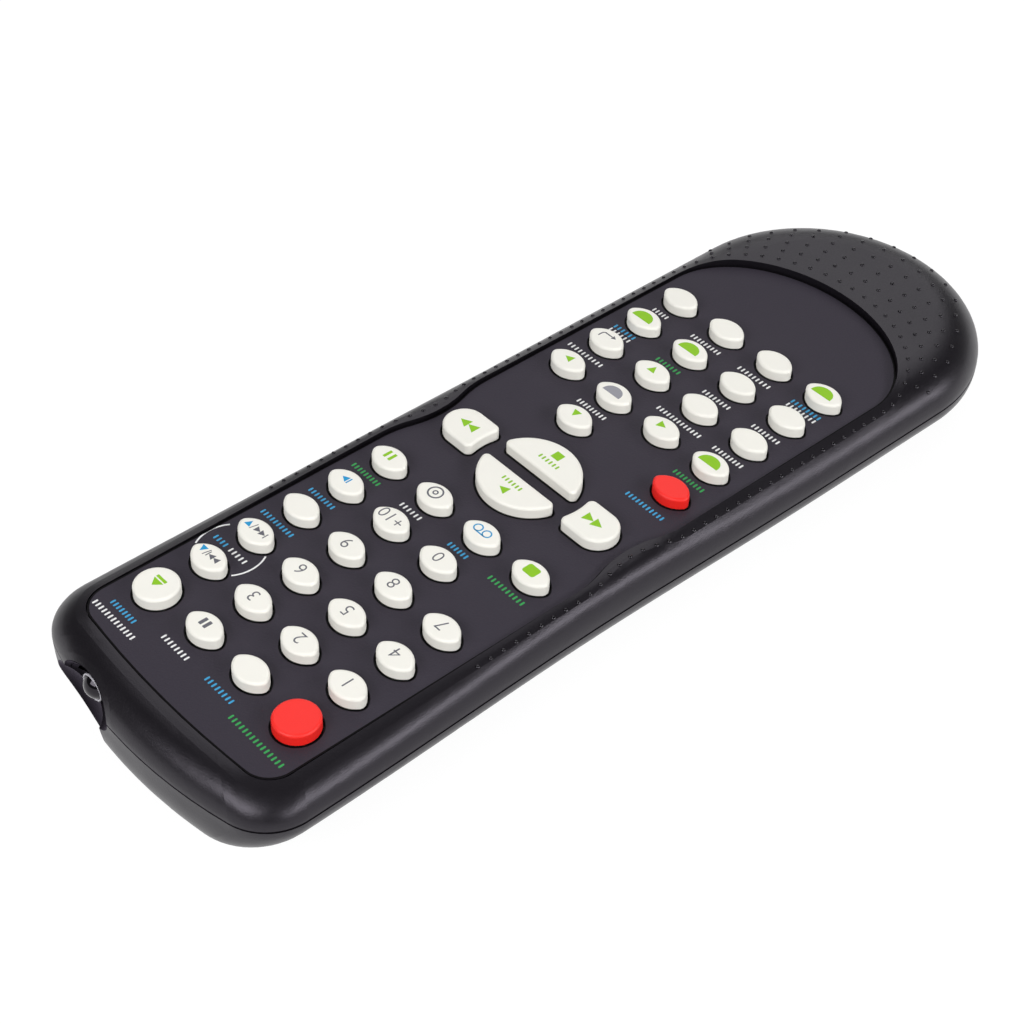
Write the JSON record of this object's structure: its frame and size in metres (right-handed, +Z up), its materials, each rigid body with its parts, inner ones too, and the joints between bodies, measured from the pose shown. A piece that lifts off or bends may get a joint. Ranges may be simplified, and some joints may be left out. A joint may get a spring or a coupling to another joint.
{
  "type": "disc and tape player remote control",
  "caption": "Handheld remote control for a disc and tape player: waisted case, recessed face panel, sprung keys, infrared emitter and sliding battery door.",
  "frame": {"origin": "on the resting face, below the middle of the case", "axes": "+X to the user's right, +Y to the infrared end, +Z up out of the key face"},
  "size_m": [0.0632, 0.195, 0.0219],
  "materials": {
    "case_black": "satin moulded black case",
    "panel_grey": "fine matte texture",
    "key_white": "smooth warm white",
    "key_red": "smooth signal red",
    "mat_rubber": "moulded silicone",
    "board_green": "solder mask over laminate",
    "emitter_lens": "dark clear resin",
    "cell_jacket": "printed metal jacket",
    "contact_steel": "nickel-plated spring steel",
    "screw_steel": "zinc-plated steel",
    "chip_black": "moulded epoxy",
    "resonator_amber": "dipped ceramic",
    "capacitor_sleeve": "shrink sleeve"
  },
  "bodies": {
    "case": {"battery_contacts": "contact_steel", "battery_left": "cell_jacket", "battery_right": "cell_jacket", "battery_springs": "contact_steel", "capacitor": "capacitor_sleeve", "case_screws": "screw_steel", "circuit_board": "board_green", "controller_chip": "chip_black", "face_panel": "panel_grey", "ir_led": "emitter_lens", "keypad_mat": "mat_rubber", "lower_case": "case_black", "resonator": "resonator_amber", "upper_case": "case_black"},
    "battery_door": {"battery_door": "case_black"},
    "key_0": {"key_0": "key_white"},
    "key_1": {"key_1": "key_white"},
    "key_2": {"key_2": "key_white"},
    "key_3": {"key_3": "key_white"},
    "key_4": {"key_4": "key_white"},
    "key_5": {"key_5": "key_white"},
    "key_6": {"key_6": "key_white"},
    "key_7": {"key_7": "key_white"},
    "key_8": {"key_8": "key_white"},
    "key_9": {"key_9": "key_white"},
    "key_a_b": {"key_a_b": "key_white"},
    "key_angle": {"key_angle": "key_white"},
    "key_audio": {"key_audio": "key_white"},
    "key_clear": {"key_clear": "key_white"},
    "key_disc": {"key_disc": "key_white"},
    "key_display": {"key_display": "key_white"},
    "key_down": {"key_down": "key_white"},
    "key_eject": {"key_eject": "key_white"},
    "key_enter": {"key_enter": "key_white"},
    "key_fast_forward": {"key_fast_forward": "key_white"},
    "key_input": {"key_input": "key_white"},
    "key_left": {"key_left": "key_white"},
    "key_menu": {"key_menu": "key_white"},
    "key_mode": {"key_mode": "key_white"},
    "key_pause": {"key_pause": "key_white"},
    "key_play": {"key_play": "key_white"},
    "key_plus_10": {"key_plus_10": "key_white"},
    "key_record": {"key_record": "key_red"},
    "key_repeat": {"key_repeat": "key_white"},
    "key_return": {"key_return": "key_white"},
    "key_rewind": {"key_rewind": "key_white"},
    "key_right": {"key_right": "key_white"},
    "key_search": {"key_search": "key_white"},
    "key_setup": {"key_setup": "key_white"},
    "key_skip_back": {"key_skip_back": "key_white"},
    "key_skip_forward": {"key_skip_forward": "key_white"},
    "key_slow": {"key_slow": "key_white"},
    "key_speed": {"key_speed": "key_white"},
    "key_standby": {"key_standby": "key_red"},
    "key_stop": {"key_stop": "key_white"},
    "key_subtitle": {"key_subtitle": "key_white"},
    "key_tape": {"key_tape": "key_white"},
    "key_top_menu": {"key_top_menu": "key_white"},
    "key_up": {"key_up": "key_white"},
    "key_zoom": {"key_zoom": "key_white"}
  },
  "joints": [
    {"name": "battery_door_slide", "type": "slide", "parent": "case", "child": "battery_door", "axis": [0, -1, 0], "range_m": [0, 0.06]},
    {"name": "key_play_press", "type": "slide", "parent": "case", "child": "key_play", "axis": [0, 0, -1], "range_m": [0, 0.001], "stiffness_N_per_m": 1200},
    {"name": "key_standby_press", "type": "slide", "parent": "case", "child": "key_standby", "axis": [0, 0, -1], "range_m": [0, 0.001], "stiffness_N_per_m": 1200},
    {"name": "key_rewind_press", "type": "slide", "parent": "case", "child": "key_rewind", "axis": [0, 0, -1], "range_m": [0, 0.001], "stiffness_N_per_m": 1200},
    {"name": "key_fast_forward_press", "type": "slide", "parent": "case", "child": "key_fast_forward", "axis": [0, 0, -1], "range_m": [0, 0.001], "stiffness_N_per_m": 1200},
    {"name": "key_stop_press", "type": "slide", "parent": "case", "child": "key_stop", "axis": [0, 0, -1], "range_m": [0, 0.001], "stiffness_N_per_m": 1200},
    {"name": "key_eject_press", "type": "slide", "parent": "case", "child": "key_eject", "axis": [0, 0, -1], "range_m": [0, 0.001], "stiffness_N_per_m": 1200},
    {"name": "key_5_press", "type": "slide", "parent": "case", "child": "key_5", "axis": [0, 0, -1], "range_m": [0, 0.001], "stiffness_N_per_m": 1200},
    {"name": "key_enter_press", "type": "slide", "parent": "case", "child": "key_enter", "axis": [0, 0, -1], "range_m": [0, 0.001], "stiffness_N_per_m": 1200},
    {"name": "key_menu_press", "type": "slide", "parent": "case", "child": "key_menu", "axis": [0, 0, -1], "range_m": [0, 0.001], "stiffness_N_per_m": 1200},
    {"name": "key_skip_forward_press", "type": "slide", "parent": "case", "child": "key_skip_forward", "axis": [0, 0, -1], "range_m": [0, 0.001], "stiffness_N_per_m": 1200},
    {"name": "key_record_press", "type": "slide", "parent": "case", "child": "key_record", "axis": [0, 0, -1], "range_m": [0, 0.001], "stiffness_N_per_m": 1200},
    {"name": "key_0_press", "type": "slide", "parent": "case", "child": "key_0", "axis": [0, 0, -1], "range_m": [0, 0.001], "stiffness_N_per_m": 1200},
    {"name": "key_disc_press", "type": "slide", "parent": "case", "child": "key_disc", "axis": [0, 0, -1], "range_m": [0, 0.001], "stiffness_N_per_m": 1200},
    {"name": "key_pause_press", "type": "slide", "parent": "case", "child": "key_pause", "axis": [0, 0, -1], "range_m": [0, 0.001], "stiffness_N_per_m": 1200},
    {"name": "key_a_b_press", "type": "slide", "parent": "case", "child": "key_a_b", "axis": [0, 0, -1], "range_m": [0, 0.001], "stiffness_N_per_m": 1200},
    {"name": "key_subtitle_press", "type": "slide", "parent": "case", "child": "key_subtitle", "axis": [0, 0, -1], "range_m": [0, 0.001], "stiffness_N_per_m": 1200},
    {"name": "key_1_press", "type": "slide", "parent": "case", "child": "key_1", "axis": [0, 0, -1], "range_m": [0, 0.001], "stiffness_N_per_m": 1200},
    {"name": "key_return_press", "type": "slide", "parent": "case", "child": "key_return", "axis": [0, 0, -1], "range_m": [0, 0.001], "stiffness_N_per_m": 1200},
    {"name": "key_up_press", "type": "slide", "parent": "case", "child": "key_up", "axis": [0, 0, -1], "range_m": [0, 0.001], "stiffness_N_per_m": 1200},
    {"name": "key_speed_press", "type": "slide", "parent": "case", "child": "key_speed", "axis": [0, 0, -1], "range_m": [0, 0.001], "stiffness_N_per_m": 1200},
    {"name": "key_slow_press", "type": "slide", "parent": "case", "child": "key_slow", "axis": [0, 0, -1], "range_m": [0, 0.001], "stiffness_N_per_m": 1200},
    {"name": "key_tape_press", "type": "slide", "parent": "case", "child": "key_tape", "axis": [0, 0, -1], "range_m": [0, 0.001], "stiffness_N_per_m": 1200},
    {"name": "key_zoom_press", "type": "slide", "parent": "case", "child": "key_zoom", "axis": [0, 0, -1], "range_m": [0, 0.001], "stiffness_N_per_m": 1200},
    {"name": "key_search_press", "type": "slide", "parent": "case", "child": "key_search", "axis": [0, 0, -1], "range_m": [0, 0.001], "stiffness_N_per_m": 1200},
    {"name": "key_9_press", "type": "slide", "parent": "case", "child": "key_9", "axis": [0, 0, -1], "range_m": [0, 0.001], "stiffness_N_per_m": 1200},
    {"name": "key_2_press", "type": "slide", "parent": "case", "child": "key_2", "axis": [0, 0, -1], "range_m": [0, 0.001], "stiffness_N_per_m": 1200},
    {"name": "key_3_press", "type": "slide", "parent": "case", "child": "key_3", "axis": [0, 0, -1], "range_m": [0, 0.001], "stiffness_N_per_m": 1200},
    {"name": "key_4_press", "type": "slide", "parent": "case", "child": "key_4", "axis": [0, 0, -1], "range_m": [0, 0.001], "stiffness_N_per_m": 1200},
    {"name": "key_6_press", "type": "slide", "parent": "case", "child": "key_6", "axis": [0, 0, -1], "range_m": [0, 0.001], "stiffness_N_per_m": 1200},
    {"name": "key_7_press", "type": "slide", "parent": "case", "child": "key_7", "axis": [0, 0, -1], "range_m": [0, 0.001], "stiffness_N_per_m": 1200},
    {"name": "key_8_press", "type": "slide", "parent": "case", "child": "key_8", "axis": [0, 0, -1], "range_m": [0, 0.001], "stiffness_N_per_m": 1200},
    {"name": "key_angle_press", "type": "slide", "parent": "case", "child": "key_angle", "axis": [0, 0, -1], "range_m": [0, 0.001], "stiffness_N_per_m": 1200},
    {"name": "key_audio_press", "type": "slide", "parent": "case", "child": "key_audio", "axis": [0, 0, -1], "range_m": [0, 0.001], "stiffness_N_per_m": 1200},
    {"name": "key_clear_press", "type": "slide", "parent": "case", "child": "key_clear", "axis": [0, 0, -1], "range_m": [0, 0.001], "stiffness_N_per_m": 1200},
    {"name": "key_display_press", "type": "slide", "parent": "case", "child": "key_display", "axis": [0, 0, -1], "range_m": [0, 0.001], "stiffness_N_per_m": 1200},
    {"name": "key_down_press", "type": "slide", "parent": "case", "child": "key_down", "axis": [0, 0, -1], "range_m": [0, 0.001], "stiffness_N_per_m": 1200},
    {"name": "key_input_press", "type": "slide", "parent": "case", "child": "key_input", "axis": [0, 0, -1], "range_m": [0, 0.001], "stiffness_N_per_m": 1200},
    {"name": "key_left_press", "type": "slide", "parent": "case", "child": "key_left", "axis": [0, 0, -1], "range_m": [0, 0.001], "stiffness_N_per_m": 1200},
    {"name": "key_mode_press", "type": "slide", "parent": "case", "child": "key_mode", "axis": [0, 0, -1], "range_m": [0, 0.001], "stiffness_N_per_m": 1200},
    {"name": "key_plus_10_press", "type": "slide", "parent": "case", "child": "key_plus_10", "axis": [0, 0, -1], "range_m": [0, 0.001], "stiffness_N_per_m": 1200},
    {"name": "key_repeat_press", "type": "slide", "parent": "case", "child": "key_repeat", "axis": [0, 0, -1], "range_m": [0, 0.001], "stiffness_N_per_m": 1200},
    {"name": "key_right_press", "type": "slide", "parent": "case", "child": "key_right", "axis": [0, 0, -1], "range_m": [0, 0.001], "stiffness_N_per_m": 1200},
    {"name": "key_setup_press", "type": "slide", "parent": "case", "child": "key_setup", "axis": [0, 0, -1], "range_m": [0, 0.001], "stiffness_N_per_m": 1200},
    {"name": "key_skip_back_press", "type": "slide", "parent": "case", "child": "key_skip_back", "axis": [0, 0, -1], "range_m": [0, 0.001], "stiffness_N_per_m": 1200},
    {"name": "key_top_menu_press", "type": "slide", "parent": "case", "child": "key_top_menu", "axis": [0, 0, -1], "range_m": [0, 0.001], "stiffness_N_per_m": 1200}
  ]
}
